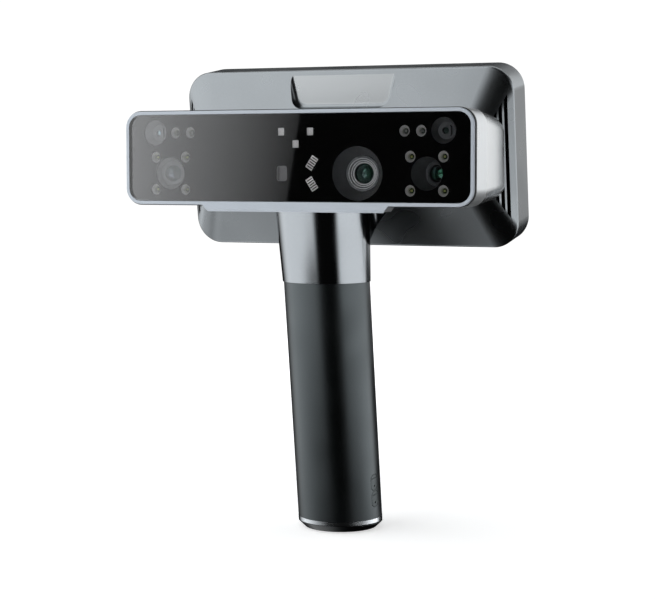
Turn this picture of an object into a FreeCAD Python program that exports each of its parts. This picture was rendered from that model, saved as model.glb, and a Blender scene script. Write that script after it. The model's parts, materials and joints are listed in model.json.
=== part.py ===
import FreeCAD, Part
import math
import os

V = FreeCAD.Vector

# Handheld structured-light scanner.
#
# Row frame: X across the width, -Y is the front that faces the subject, +Z up.
# The origin is the centre of the flat foot under the handle.
# The camera bar stands square to the row frame.  The handle and the display
# housing lean together by LEAN about X, top towards the front.  Pieces that
# lean are drawn upright in the "handle frame" (same origin, handle axis on Z)
# and pass through lean().  Pieces of the camera bar are drawn in the "bar
# frame" (origin at the centre of its front face) and pass through to_bar().

# ---- driving dimensions, mm ------------------------------------------------
LEAN = 8.6                  # degrees between the handle axis and vertical

BAR_W = 200.0               # camera bar
BAR_H = 51.3
BAR_R = 9.2
BAR_FORWARD = 36.7          # bar face ahead of the handle axis (handle frame)
BAR_UP = 217.0              # bar centre above the foot (handle frame)
RIM = 2.3                   # visible width of the bright bezel
BEZEL_D = 1.3
BEZEL_STEP = 0.45           # the bezel is this much smaller than the bar all round
GROOVE_D = 2.0
FRAME_D = 20.6              # rear edge of the mid frame
GLASS_Y, GLASS_T = 0.15, 1.6
MASK_Y = 1.85               # front of the optics plate behind the glass
MASK_T = 1.2
MASK_BACK = MASK_Y + MASK_T
WALL = 2.2                  # general shell thickness

CHIN_TOP = 54.4             # half widths of the chin under the bar
CHIN_LOW = 50.4
CHIN_Z = -28.7
CHIN_ROOT = -23.6           # where the chin starts inside the bar
CHIN_BEVEL = 1.3

HOUSE_W = 197.6             # display housing
HOUSE_H = 101.0
HOUSE_R = 14.7
HOUSE_Y = 42.35             # plane of the housing's front rim, behind the axis
HOUSE_T = 23.1
HOUSE_Z = 205.1             # centre height along the handle axis
NOSE_D = 14.7               # depth of the tapered front
NOSE_W = 170.6
NOSE_H = 42.0
NOSE_R = 11.0
RIM_FILLET, REAR_FILLET = 2.0, 1.4

GRIP_R = 23.86              # handle
SLEEVE_T = 1.9
TUBE_R = 21.8
TUBE_T = 1.9
SEAM_Z = 141.0              # level seam between neck and grip
RING_Z0, RING_Z1 = 4.1, 6.4
FOOT_R = 20.6
NECK_TOP_R = 26.3
COLUMN_Z0, COLUMN_Z1 = 130.0, 192.0     # cone of the neck column before it is trimmed
FLARE_FILLET = 16.0
NECK_SPLIT_Y = -5.5
NECK_HOLE_R = 16.4          # where the handle tube enters the head

FIT = 0.15                  # gap between fixed neighbours

# optics layout, bar frame
LENS_Z = -8.3
CAM_X, CAM_WINDOW_R = 73.5, 8.75        # toed-in stereo cameras
CAM_TOE = 14.0
CAM_LENS_Y, CAM_LENS_OUT = 10.2, 2.5
CAM_LENS_R, CAM_BARREL_R = 4.45, 6.3
TRACK_X, TRACK_Z, TRACK_WINDOW_R = 82.5, 13.7, 6.85
TRACK_DEPTH = 4.2                       # from the optics plate to the tracking lens
COLOUR_X, COLOUR_WINDOW_R = 35.4, 14.2
COLOUR_RING_Y = 10.5
COLOUR_BARREL_R, COLOUR_LENS_R = 9.3, 5.3
WHITE_LED_R = 3.05
WHITE_LEDS = [(s * x, z) for s in (-1, 1) for x in (64.5, 82.4) for z in (0.4, -17.1)]
INFRARED_LEDS = [(s * x, 13.6) for s in (-1, 1) for x in (61.4, 70.4)]
DOT_WINDOWS = [(-7.8, 13.7), (8.8, 13.7), (0.5, 7.2)]
DOT_SIDE = 4.0
RANGE_X, RANGE_W, RANGE_H = -7.4, 6.6, 8.1
LASER_X, LASER_OFF, LASER_TILT = 9.8, 5.5, 33.0
LASER_W, LASER_H = 4.6, 7.6
BENCH_Y0, BENCH_Y1, BENCH_H = 24.0, 29.0, 40.0
POSTS = [(sx * 52.5, sz * 17.0) for sx in (-1, 1) for sz in (-1, 1)]
SCREW_R = 1.0

# display housing, handle frame
BADGE_TOP, BADGE_LOW = 32.8, 28.4       # half widths of the shallow badge recess
BADGE_DROP0, BADGE_DROP1 = 2.9, 20.8    # its upper and lower edge under the rim's top
BADGE_RISE = 0.15                       # how much its floor comes forward per mm downward
BADGE_CORNER, BADGE_FILLET = 7.0, 2.6
SLOT_W, SLOT_LIFT = 1.6, 1.2
SLOT_SLANT = 1.84                       # the slot ends run along the housing's corner line
SLOTS = [(3.8, 32.8), (6.2, 28.5), (8.6, 24.2)]     # inset from the rim, half length
BACK_Y = HOUSE_Y + HOUSE_T              # rear edge of the housing
TRAY_Y0, TRAY_Y1 = 58.6, 60.0           # metal tray that backs the screen
PANEL_BACK_Y = 63.3                     # rear face of the screen panel
SCREEN_W, SCREEN_H = 160.0, 76.0
BOSSES = [(sx * 83.0, HOUSE_Z + sz * 41.0) for sx in (-1, 1) for sz in (-1, 1)]
FAN_X, FAN_Y0, FAN_Y1 = 62.0, 44.9, 54.6
FAN_SIDE, FAN_BORE_R, FAN_HUB_R = 40.0, 18.8, 10.0
FAN_BLADES = 7
DUCT_W, DUCT_Z0, DUCT_Z1 = 18.0, 164.0, 172.0       # cable duct from the neck to the housing

# handle controls and ports
PANEL_Z0, PANEL_Z1, PANEL_HALF_W = 89.0, 134.0, 9.5
SCAN_Z, SCAN_R = 124.0, 6.4
KEYS = {"plus_button": (111.7, 4.0), "minus_button": (102.4, 4.0), "power_button": (94.6, 2.6)}
KEY_GAP = 0.2
SCAN_PROUD, KEY_PROUD = 1.3, 0.9        # how far the buttons stand out of the grip
PORT_TURN = -10.0                       # degrees from +X towards the front
PORT_ZS = {"upper": 28.5, "lower": 18.8}
PORT_W, PORT_H, PORT_CUT = 6.2, 8.8, 1.6
PORT_DEPTH = 1.3
CELL_R, CELL_L, CELL_X, CELL_Z = 9.1, 64.0, 9.3, 40.0
FOOT_SCREW_CIRCLE = 12.5


# ---- frames ------------------------------------------------------------------
def lean(shape):
    """From the upright handle frame to the row frame."""
    out = shape.copy()
    out.rotate(V(0, 0, 0), V(1, 0, 0), LEAN)
    return out


def lean_point(x, y, z):
    c, s = math.cos(math.radians(LEAN)), math.sin(math.radians(LEAN))
    return V(x, y * c - z * s, y * s + z * c)


BAR_ORIGIN = lean_point(0, -BAR_FORWARD, BAR_UP)


def to_bar(shape):
    """From the bar frame to the row frame."""
    out = shape.copy()
    out.translate(BAR_ORIGIN)
    return out


# ---- small makers --------------------------------------------------------------
def rounded_wire(w, h, r, y, cx=0.0, cz=0.0):
    """Rounded rectangle in the plane Y = y."""
    x0, x1, z0, z1 = cx - w / 2, cx + w / 2, cz - h / 2, cz + h / 2
    k = r * (1 - math.sqrt(0.5))
    edges = [
        Part.LineSegment(V(x0 + r, y, z0), V(x1 - r, y, z0)),
        Part.Arc(V(x1 - r, y, z0), V(x1 - k, y, z0 + k), V(x1, y, z0 + r)),
        Part.LineSegment(V(x1, y, z0 + r), V(x1, y, z1 - r)),
        Part.Arc(V(x1, y, z1 - r), V(x1 - k, y, z1 - k), V(x1 - r, y, z1)),
        Part.LineSegment(V(x1 - r, y, z1), V(x0 + r, y, z1)),
        Part.Arc(V(x0 + r, y, z1), V(x0 + k, y, z1 - k), V(x0, y, z1 - r)),
        Part.LineSegment(V(x0, y, z1 - r), V(x0, y, z0 + r)),
        Part.Arc(V(x0, y, z0 + r), V(x0 + k, y, z0 + k), V(x0 + r, y, z0)),
    ]
    return Part.Wire([e.toShape() for e in edges])


def plate(w, h, r, y0, y1, cx=0.0, cz=0.0):
    """Rounded plate from y0 to y1."""
    face = Part.Face(rounded_wire(w, h, r, y0, cx, cz))
    return face.extrude(V(0, y1 - y0, 0))


def house_plate(margin, y0, y1):
    """Plate with the outline of the display housing, grown by margin."""
    return plate(HOUSE_W + 2 * margin, HOUSE_H + 2 * margin, HOUSE_R + margin, y0, y1, 0, HOUSE_Z)


def bar_plate(inset, y0, y1):
    """Plate with the outline of the camera bar, drawn in by inset."""
    return plate(BAR_W - 2 * inset, BAR_H - 2 * inset, BAR_R - inset, y0, y1)


def box(x0, x1, y0, y1, z0, z1):
    return Part.makeBox(x1 - x0, y1 - y0, z1 - z0, V(x0, y0, z0))


def rod_y(x, z, r, y0, y1):
    """Cylinder along Y."""
    return Part.makeCylinder(r, y1 - y0, V(x, y0, z), V(0, 1, 0))


def polygon_prism(points, y0, y1):
    """Prism of an XZ outline."""
    loop = [V(x, y0, z) for x, z in points]
    face = Part.Face(Part.makePolygon(loop + loop[:1]))
    return face.extrude(V(0, y1 - y0, 0))


def loft(wires):
    return Part.makeLoft(wires, True, True)


def smooth_loft(wires):
    return Part.makeLoft(wires, True, False)


def circle_wire(centre, axis, r):
    return Part.Wire([Part.Circle(centre, axis, r).toShape()])


def fuse(shapes):
    out = shapes[0].multiFuse(shapes[1:]) if len(shapes) > 1 else shapes[0]
    return out.removeSplitter()


def edges_where(shape, test):
    return [e for e in shape.Edges if test(e)]


def all_at(edge, key, value, tol=1e-3):
    return all(abs(getattr(v.Point, key) - value) < tol for v in edge.Vertexes)


def group(shapes):
    return Part.makeCompound(shapes)


def save(name, shape):
    bad = [s for s in shape.Solids if not s.isValid()]
    if not shape.Solids or bad:
        raise RuntimeError(f"{name}: {len(shape.Solids)} solids, {len(bad)} invalid")
    shape.exportStep(f"parts/{name}.step")


# ---- camera bar ------------------------------------------------------------------
def laser_block(sign, w, h, y0, y1, r=0.4):
    """Rectangular block at one of the two tilted laser windows."""
    body = plate(w, h, r, y0, y1)
    body.rotate(V(0, 0, 0), V(0, 1, 0), sign * LASER_TILT)
    body.translate(V(LASER_X, 0, LENS_Z + sign * LASER_OFF))
    return body


def chin_block(inset, y0, y1):
    """Trapezoid under the bar, drawn in by inset."""
    top, low, z = CHIN_TOP - 2 * inset, CHIN_LOW - 2 * inset, CHIN_Z + inset
    return polygon_prism([(-top, CHIN_ROOT), (top, CHIN_ROOT), (low, z), (-low, z)], y0, y1)


def bevelled_chin(y0, y1):
    """The trapezoid with a bevel along its lower front edge."""
    body = chin_block(0.0, y0, y1)
    corner = [V(-80, y0 - 1, CHIN_Z - 1), V(-80, y0 - 1, CHIN_Z + CHIN_BEVEL + 1),
              V(-80, y0 + CHIN_BEVEL + 1, CHIN_Z - 1)]
    bevel = Part.Face(Part.makePolygon(corner + corner[:1]))
    return body.cut(bevel.extrude(V(160, 0, 0)))


def front_bezel():
    """Bright rim round the glass, with the chin in one piece."""
    ring = bar_plate(BEZEL_STEP, 0.0, BEZEL_D)
    ring = ring.makeFillet(0.35, edges_where(ring, lambda e: all_at(e, "y", 0.0)))
    body = fuse([ring, bevelled_chin(0.0, BEZEL_D)])
    opening = bar_plate(RIM, -1, BEZEL_D + 1)
    return to_bar(body.cut(opening))


def bezel_gasket():
    """Dark seal in the groove between bezel and mid frame."""
    y0, y1 = BEZEL_D, BEZEL_D + GROOVE_D
    ring = bar_plate(0.05, y0, y1)
    chin = chin_block(0.9, y0, y1)
    opening = bar_plate(RIM + 0.1, y0 - 1, y1 + 1)
    return to_bar(fuse([ring, chin]).cut(opening))


def front_glass():
    return to_bar(bar_plate(RIM + FIT, GLASS_Y, GLASS_Y + GLASS_T))


def optics_plate():
    """Black plate behind the glass, pierced for every optical window."""
    body = bar_plate(RIM + 2 * FIT, MASK_Y, MASK_BACK)
    y0, y1 = MASK_Y - 1, MASK_BACK + 1
    holes = [rod_y(COLOUR_X, LENS_Z, COLOUR_WINDOW_R, y0, y1)]
    for s in (-1, 1):
        holes.append(rod_y(s * CAM_X, LENS_Z, CAM_WINDOW_R, y0, y1))
        holes.append(rod_y(s * TRACK_X, TRACK_Z, TRACK_WINDOW_R, y0, y1))
        holes.append(laser_block(s, LASER_W, LASER_H, y0, y1))
    holes += [rod_y(x, z, WHITE_LED_R, y0, y1) for x, z in WHITE_LEDS + INFRARED_LEDS]
    holes += [plate(DOT_SIDE, DOT_SIDE, 0.4, y0, y1, x, z) for x, z in DOT_WINDOWS]
    holes.append(plate(RANGE_W, RANGE_H, 1.5, y0, y1, RANGE_X, LENS_Z))
    return to_bar(body.cut(holes))


def mid_frame():
    """Side band of the bar, with a ledge that carries the optics plate."""
    y0 = BEZEL_D + GROOVE_D
    outer = bar_plate(0.0, y0, FRAME_D)
    chin = chin_block(0.4, y0, FRAME_D - 6)
    opening = bar_plate(WALL, y0 + 1.6, FRAME_D + 1)
    ledge = plate(BAR_W - 9.0, BAR_H - 5.0, 6.0, y0 - 1, y0 + 2)
    clear = lean(Part.makeCylinder(NECK_TOP_R + 0.3, 80, V(0, 0, 150)))
    clear.translate(BAR_ORIGIN * -1)
    return to_bar(fuse([outer, chin.cut(clear)]).cut([opening, ledge]))


def shell_wire(y, inset):
    """Section of the bar's rear shell, which narrows towards the housing."""
    w = BAR_W - 0.4 - 0.222 * (y - FRAME_D)
    h = BAR_H - 0.4 - 0.092 * (y - FRAME_D)
    return rounded_wire(w - 2 * inset, h - 2 * inset, max(BAR_R - inset, 2.0), y)


def housing_outer(grow=0.0):
    """Outside of the display housing in the handle frame."""
    front = HOUSE_Y - NOSE_D
    rim = rounded_wire(HOUSE_W + 2 * grow, HOUSE_H + 2 * grow, HOUSE_R + grow, HOUSE_Y, 0, HOUSE_Z)
    tip = rounded_wire(NOSE_W + 2 * grow, NOSE_H + 2 * grow, NOSE_R + grow, front, 0, HOUSE_Z)
    nose = loft([tip, rim])
    if grow:
        nose.translate(V(0, -grow, 0))
    return nose, house_plate(grow, HOUSE_Y - grow, BACK_Y)


def head_shell():
    """Rear shell of the bar, ending on the sloping face of the housing."""
    y0, y1 = FRAME_D + 0.1, 84.0
    outer = loft([shell_wire(y0, 0.0), shell_wire(y1, 0.0)])
    inner = loft([shell_wire(y0 - 0.01, WALL), shell_wire(y1 + 0.01, WALL)])
    body = to_bar(outer.cut(inner))
    nose, slab = housing_outer(FIT)
    tube_hole = Part.makeCylinder(NECK_HOLE_R, 40, V(0, 0, 176))
    body = body.cut([lean(nose), lean(slab), lean(tube_hole)])
    return max(body.Solids, key=lambda s: s.Volume)


# ---- cameras and lights ------------------------------------------------------------
def toe_axis(side):
    """Unit vector from a stereo camera towards the subject."""
    t = math.radians(CAM_TOE)
    return V(-side * math.sin(t), -math.cos(t), 0)


def stereo_lens_centre(side):
    return V(side * (CAM_X + CAM_LENS_OUT), CAM_LENS_Y, LENS_Z)


def stereo_hood(side):
    """Funnel from the window down to the toed-in lens."""
    back = stereo_lens_centre(side) + toe_axis(side) * -0.6
    axis = toe_axis(side)

    def cone(extra, shift):
        mouth = V(side * CAM_X, MASK_BACK + 0.05 - shift, LENS_Z)
        front = circle_wire(mouth, V(0, -1, 0), CAM_WINDOW_R + extra)
        rear = circle_wire(back - axis * shift, axis, 6.6 + extra)
        return loft([front, rear])
    return to_bar(cone(0.9, 0.0).cut(cone(0.1, 0.02)))


def stereo_barrel(side):
    """Lens barrel with focus rings and a square sensor block."""
    axis = toe_axis(side) * -1
    start = stereo_lens_centre(side)
    barrel = Part.makeCylinder(CAM_BARREL_R, 13.0, start, axis)
    ring = Part.makeCylinder(CAM_BARREL_R + 0.2, 1.6, start + axis * 6.0, axis)
    seat = Part.makeCylinder(CAM_LENS_R + 0.1, 2.2, start - axis * 0.1, axis)
    block = Part.makeBox(17, 17, 6)
    block.Placement = FreeCAD.Placement(start + axis * 13.0, FreeCAD.Rotation(V(0, 0, 1), axis))
    block.translate(start + axis * 16.0 - block.CenterOfMass)
    return to_bar(fuse([barrel, ring, block]).cut(seat))


def domed_lens(centre, axis, r, bulge, thick):
    """Plano-convex lens whose dome points along axis."""
    ball_r = (r * r + bulge * bulge) / (2 * bulge)
    ball = Part.makeSphere(ball_r, centre - axis * (ball_r - bulge))
    body = Part.makeCylinder(r, thick + bulge, centre - axis * thick, axis)
    return body.common(ball)


def stereo_lens(side):
    axis = toe_axis(side)
    return to_bar(domed_lens(stereo_lens_centre(side) - axis * 1.0, axis, CAM_LENS_R, 1.0, 1.0))


def tracking_camera(side):
    """Small upper camera: short hood and a notched square lens carrier."""
    x = side * TRACK_X
    mouth = V(x, MASK_BACK + 0.05, TRACK_Z)
    cone_out = Part.makeCone(TRACK_WINDOW_R + 0.8, 5.2, TRACK_DEPTH, mouth, V(0, 1, 0))
    cone_in = Part.makeCone(TRACK_WINDOW_R + 0.05, 4.4, TRACK_DEPTH, mouth - V(0, 0.01, 0), V(0, 1, 0))
    y_floor = MASK_BACK + TRACK_DEPTH
    body = rod_y(x, TRACK_Z, 5.2, y_floor, y_floor + 7)
    carrier = plate(5.6, 5.6, 1.0, y_floor - 1.6, y_floor + 0.5, x, TRACK_Z)
    seat = rod_y(x, TRACK_Z, 1.75, y_floor - 2.0, y_floor + 1.0)
    block = plate(11, 11, 1, y_floor + 7, y_floor + 9, x, TRACK_Z)
    return to_bar(fuse([cone_out.cut(cone_in), body, carrier, block]).cut(seat))


def tracking_lens(side):
    centre = V(side * TRACK_X, MASK_BACK + TRACK_DEPTH - 0.8, TRACK_Z)
    return to_bar(domed_lens(centre, V(0, -1, 0), 1.65, 0.45, 0.8))


def colour_hood():
    """Wide conical hood of the colour camera."""
    y, out_r, in_r = COLOUR_RING_Y, COLOUR_BARREL_R + 1.1, COLOUR_BARREL_R + 0.2
    start = V(COLOUR_X, MASK_BACK + 0.05, LENS_Z)
    outer = Part.makeCone(COLOUR_WINDOW_R + 0.5, out_r, y - MASK_BACK, start, V(0, 1, 0))
    inner = Part.makeCone(COLOUR_WINDOW_R + 0.1, in_r, y - MASK_BACK, start, V(0, 1, 0))
    tail = rod_y(COLOUR_X, LENS_Z, out_r, y, y + 2).cut(rod_y(COLOUR_X, LENS_Z, in_r, y - 1, y + 3))
    return to_bar(fuse([outer.cut(inner), tail]))


def colour_barrel():
    """Stepped barrel: outer ring, dished lens seat, sensor block."""
    y = COLOUR_RING_Y
    outer = rod_y(COLOUR_X, LENS_Z, COLOUR_BARREL_R, y, y + 8)
    dish = Part.makeCone(8.5, 5.9, 2.4, V(COLOUR_X, y - 0.01, LENS_Z), V(0, 1, 0))
    seat = rod_y(COLOUR_X, LENS_Z, COLOUR_LENS_R + 0.1, y + 2, y + 4.6)
    body = rod_y(COLOUR_X, LENS_Z, 8.0, y + 8, y + 13)
    block = plate(24, 24, 2, y + 13, y + 19, COLOUR_X, LENS_Z)
    return to_bar(fuse([outer, body, block]).cut([dish, seat]))


def colour_lens():
    y = COLOUR_RING_Y + 4.5
    return to_bar(domed_lens(V(COLOUR_X, y - 1.2, LENS_Z), V(0, -1, 0), COLOUR_LENS_R, 1.7, 1.2))


def led(x, z, r, y0, length):
    """Round LED with a domed tip and a collar."""
    tip = Part.makeSphere(r, V(x, y0 + r, z))
    stem = rod_y(x, z, r, y0 + r, y0 + length)
    collar = rod_y(x, z, r + 0.4, y0 + length - 1.0, y0 + length)
    return fuse([tip, stem, collar])


def white_leds():
    return to_bar(group([led(x, z, 2.4, MASK_BACK + 0.4, 6.0) for x, z in WHITE_LEDS]))


def infrared_leds():
    return to_bar(group([led(x, z, 1.9, MASK_BACK + 0.6, 5.2) for x, z in INFRARED_LEDS]))


def led_boards():
    """One board each side, cut out round the cameras."""
    boards = []
    for s in (-1, 1):
        board = plate(36, 44, 3, 9.5, 10.7, s * 74.5, -0.5)
        holes = [rod_y(s * (CAM_X + 2.2), LENS_Z, 9.0, 9, 12), rod_y(s * TRACK_X, TRACK_Z, 5.6, 9, 12)]
        boards.append(board.cut(holes))
    return to_bar(group(boards))


def dot_emitters():
    """Three square pattern-emitter cans behind their windows."""
    cans = []
    for x, z in DOT_WINDOWS:
        can = plate(DOT_SIDE + 0.8, DOT_SIDE + 0.8, 0.6, MASK_BACK + 0.1, MASK_BACK + 3.6, x, z)
        die = plate(2.4, 2.4, 0.2, MASK_BACK, MASK_BACK + 0.5, x, z)
        cans.append(can.cut(die))
    return to_bar(group(cans))


def range_sensor():
    """Rectangular distance sensor with its window pocket."""
    y0 = MASK_BACK + 0.1
    body = plate(RANGE_W + 2, RANGE_H + 2, 1.2, y0, y0 + 6, RANGE_X, LENS_Z)
    pocket = plate(RANGE_W - 1.0, RANGE_H - 1.0, 0.8, y0 - 1, y0 + 2.2, RANGE_X, LENS_Z)
    return to_bar(body.cut(pocket))


def line_lasers():
    """Two laser modules, each with a ribbed line lens in a square nose."""
    modules = []
    for s in (-1, 1):
        nose = laser_block(s, LASER_W + 1.0, LASER_H + 0.6, MASK_BACK + 0.2, MASK_BACK + 3.4)
        barrel = rod_y(LASER_X, LENS_Z + s * LASER_OFF, 4.3, MASK_BACK + 3.4, MASK_BACK + 17)
        ribs = []
        for k in range(3):
            rib = box(-LASER_W / 2, LASER_W / 2, MASK_BACK + 0.1, MASK_BACK + 0.9, -0.25, 0.25)
            rib.translate(V(0, 0, 1.1 + 0.95 * k))
            rib.rotate(V(0, 0, 0), V(0, 1, 0), s * LASER_TILT)
            rib.translate(V(LASER_X, 0, LENS_Z + s * LASER_OFF))
            ribs.append(rib)
        modules.append(fuse([nose, barrel]).cut(ribs))
    return to_bar(group(modules))


def optical_bench():
    """Stiff aluminium beam that holds every camera in a cut-out."""
    y0, y1 = BENCH_Y0 - 1, BENCH_Y1 + 1
    beam = plate(184, BENCH_H, 5, BENCH_Y0, BENCH_Y1, 0, 0)
    cuts = [plate(15, 26, 3, y0, y1, x, -1) for x in (-40, -22, -4, 14)]
    cuts.append(plate(24.4, 24.4, 2.2, y0, y1, COLOUR_X, LENS_Z))
    cuts += [plate(50, 22.4, 2, y0, y1, s * (CAM_X + 19.5), LENS_Z) for s in (-1, 1)]
    cuts += [rod_y(x, z, SCREW_R + 0.1, y0, y1) for x, z in POSTS]
    return to_bar(beam.cut(cuts))


def bench_posts():
    """Stand-offs that tie the bench to the plate behind the glass."""
    posts = []
    for x, z in POSTS:
        bore = rod_y(x, z, SCREW_R + 0.05, BENCH_Y0 - 6, BENCH_Y0)
        posts.append(rod_y(x, z, 2.6, MASK_BACK + 0.1, BENCH_Y0 - 0.1).cut(bore))
    return to_bar(group(posts))


# ---- display housing --------------------------------------------------------------
def badge_pocket(grow=0.0):
    """Trapezoid pocket, flush at its top and deepest at its lower edge."""
    z1 = HOUSE_Z + HOUSE_H / 2 - BADGE_DROP0 + grow
    z0 = HOUSE_Z + HOUSE_H / 2 - BADGE_DROP1 - grow
    slope = NOSE_D / ((HOUSE_H - NOSE_H) / 2)
    y_top = HOUSE_Y - slope * BADGE_DROP0
    y_low = y_top - BADGE_RISE * (BADGE_DROP1 - BADGE_DROP0)
    a, b = BADGE_TOP + grow, BADGE_LOW + grow
    outline = polygon_prism([(-a, z1), (a, z1), (b, z0), (-b, z0)], 0, 60)
    low = edges_where(outline, lambda e: e.Length > 59 and abs(e.Vertexes[0].Z - z0) < 0.01)
    outline = outline.makeFillet(BADGE_CORNER + grow, low)
    tilt = (y_top - y_low) / (z1 - z0)

    def floor(z):
        return y_top + grow - tilt * (z1 - z)
    loop = [V(-50, floor(z1 + 1), z1 + 1), V(-50, floor(z0 - 1), z0 - 1),
            V(-50, 0, z0 - 1), V(-50, 0, z1 + 1)]
    wedge = Part.Face(Part.makePolygon(loop + loop[:1]))
    tool = outline.common(wedge.extrude(V(100, 0, 0)))

    def on_floor(edge):
        ends = [v.Point for v in edge.Vertexes]
        below_top = any(q.z < z1 - 0.01 for q in ends)
        return below_top and all(abs(q.y - floor(q.z)) < 0.01 for q in ends)
    return tool.makeFillet(BADGE_FILLET, edges_where(tool, on_floor))


def vent_slots():
    slots = []
    z = HOUSE_Z + SLOT_LIFT
    for s in (-1, 1):
        for inset, half in SLOTS:
            x = HOUSE_W / 2 - inset
            near, far = half - SLOT_SLANT * SLOT_W / 2, half + SLOT_SLANT * SLOT_W / 2
            x0, x1 = s * (x - SLOT_W / 2), s * (x + SLOT_W / 2)
            outline = [(x0, z - near), (x1, z - far), (x1, z + far), (x0, z + near)]
            slots.append(polygon_prism(outline, HOUSE_Y - NOSE_D, HOUSE_Y + 3.2))
    return slots


def housing_room():
    """Inside of the housing, kept clear of the badge recess."""
    w, h, r = HOUSE_W - 2 * WALL, HOUSE_H - 2 * WALL, HOUSE_R - WALL
    tip_y = HOUSE_Y - NOSE_D + WALL
    tip = rounded_wire(NOSE_W - 2 * WALL, NOSE_H - 2 * WALL, NOSE_R - 2.0, tip_y, 0, HOUSE_Z)
    rim = rounded_wire(w - 1.6, h - 1.6, r, HOUSE_Y + WALL, 0, HOUSE_Z)
    room = house_plate(-WALL, HOUSE_Y + WALL, BACK_Y + 1)
    return fuse([loft([tip, rim]), room]).cut(badge_pocket(WALL))


def cable_duct(y1):
    """Passage for the wires between neck and housing."""
    return box(-DUCT_W / 2, DUCT_W / 2, 20, y1, DUCT_Z0, DUCT_Z1)


def display_housing():
    """Tapered front, side walls and a step that carries the display glass."""
    nose, slab = housing_outer()
    rear = edges_where(slab, lambda e: all_at(e, "y", BACK_Y))
    slab = slab.makeFillet(REAR_FILLET, rear)
    outer = fuse([nose, slab])
    rim = edges_where(outer, lambda e: all_at(e, "y", HOUSE_Y))
    outer = outer.makeFillet(RIM_FILLET, rim)
    throat = plate(NOSE_W - 22, NOSE_H - 16, 8, HOUSE_Y - NOSE_D - 2, HOUSE_Y, 0, HOUSE_Z)
    body = outer.cut([badge_pocket(), housing_room(), throat, cable_duct(HOUSE_Y)])
    posts = [rod_y(x, z, 3.2, HOUSE_Y + 1.0, TRAY_Y0 - 0.1) for x, z in BOSSES]
    bores = [rod_y(x, z, SCREW_R + 0.05, TRAY_Y0 - 8, TRAY_Y0) for x, z in BOSSES]
    body = body.fuse(posts).cut(bores + vent_slots())
    return lean(max(body.Solids, key=lambda s: s.Volume))


def vent_screens():
    """Dust screens behind the slots, one each side."""
    y0, z0, z1 = HOUSE_Y + 4.0, HOUSE_Z - 36, HOUSE_Z + 36
    return lean(group([box(x - 4.5, x + 4.5, y0, y0 + 0.8, z0, z1) for x in (-91, 91)]))


def heat_sink():
    """Finned plate on the main board, open to the slots."""
    z0, z1 = HOUSE_Z - 30, HOUSE_Z + 26
    base = box(-72, 36, 50.0, 53.0, z0, z1)
    fins = [box(x, x + 1.2, 43.0, 50.2, z0, z1) for x in range(-70, 36, 6)]
    return lean(fuse([base] + fins))


def main_board():
    """Main circuit board with three square chips under the heat sink."""
    board = box(-78, 79, 55.2, 56.8, HOUSE_Z - 40, HOUSE_Z + 38)
    corners = [(-60, HOUSE_Z - 20), (-30, HOUSE_Z + 4), (6, HOUSE_Z - 16)]
    chips = [box(x, x + 14, 53.2, 55.2, z, z + 14) for x, z in corners]
    return lean(fuse([board] + chips))


def fan_frame():
    """Square frame of the cooling fan, with three spokes that hold its motor."""
    square = plate(FAN_SIDE, FAN_SIDE, 3, FAN_Y0, FAN_Y1, FAN_X, HOUSE_Z)
    body = square.cut(rod_y(FAN_X, HOUSE_Z, FAN_BORE_R, FAN_Y0 - 1, FAN_Y1 + 1))
    hub = rod_y(FAN_X, HOUSE_Z, 9.0, FAN_Y1 - 1.4, FAN_Y1)
    spokes = []
    for k in range(3):
        spoke = box(8, 19.4, FAN_Y1 - 1.4, FAN_Y1, -1, 1)
        spoke.rotate(V(0, 0, 0), V(0, 1, 0), 120 * k + 20)
        spoke.translate(V(FAN_X, 0, HOUSE_Z))
        spokes.append(spoke)
    bore = rod_y(FAN_X, HOUSE_Z, 1.55, FAN_Y1 - 3, FAN_Y1 + 1)
    return lean(fuse([body, hub] + spokes).cut(bore))


def fan_rotor():
    """Hub, shaft and pitched blades."""
    y0, y1 = FAN_Y0 + 0.6, FAN_Y1 - 2.0
    hub = rod_y(FAN_X, HOUSE_Z, FAN_HUB_R, y0, y1)
    shaft = rod_y(FAN_X, HOUSE_Z, 1.5, y1 - 0.5, FAN_Y1 - 0.2)
    blades = []
    for k in range(FAN_BLADES):
        blade = Part.makeBox(8.6, 0.9, 9.0, V(9.4, -0.45, -4.5))
        blade.rotate(V(0, 0, 0), V(1, 0, 0), 52)
        blade.translate(V(0, (y0 + y1) / 2, 0))
        blade.rotate(V(0, 0, 0), V(0, 1, 0), 360.0 / FAN_BLADES * k)
        blade.translate(V(FAN_X, 0, HOUSE_Z))
        blades.append(blade)
    swept = rod_y(FAN_X, HOUSE_Z, FAN_BORE_R - 0.6, y0, y1)
    return lean(fuse([hub, shaft] + [b.common(swept) for b in blades]))


def display_bracket():
    """Metal tray that backs the screen."""
    tray = plate(190.0, 93.4, 11, TRAY_Y0, TRAY_Y1, 0, HOUSE_Z)
    y0, y1 = TRAY_Y0 - 1, TRAY_Y1 + 1
    holes = [rod_y(x, HOUSE_Z + z, 3, y0, y1) for x in (-60, -20, 20, 60) for z in (-30, 30)]
    holes += [rod_y(x, z, SCREW_R + 0.2, y0, y1) for x, z in BOSSES]
    return lean(tray.cut(holes))


def screen_plate(grow, y0, y1):
    """Plate with the outline of the screen panel."""
    return plate(SCREEN_W + 2 * grow, SCREEN_H + 2 * grow, 2, y0, y1, 0, HOUSE_Z)


def display_panel():
    return lean(screen_plate(0.0, TRAY_Y1 + 0.1, PANEL_BACK_Y))


def display_glass():
    """Cover glass, let into the rear of the housing."""
    body = house_plate(-WALL - 0.2, PANEL_BACK_Y + 0.1, BACK_Y - 0.2)
    rear = edges_where(body, lambda e: all_at(e, "y", BACK_Y - 0.2))
    return lean(body.makeFillet(0.4, rear))


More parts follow.
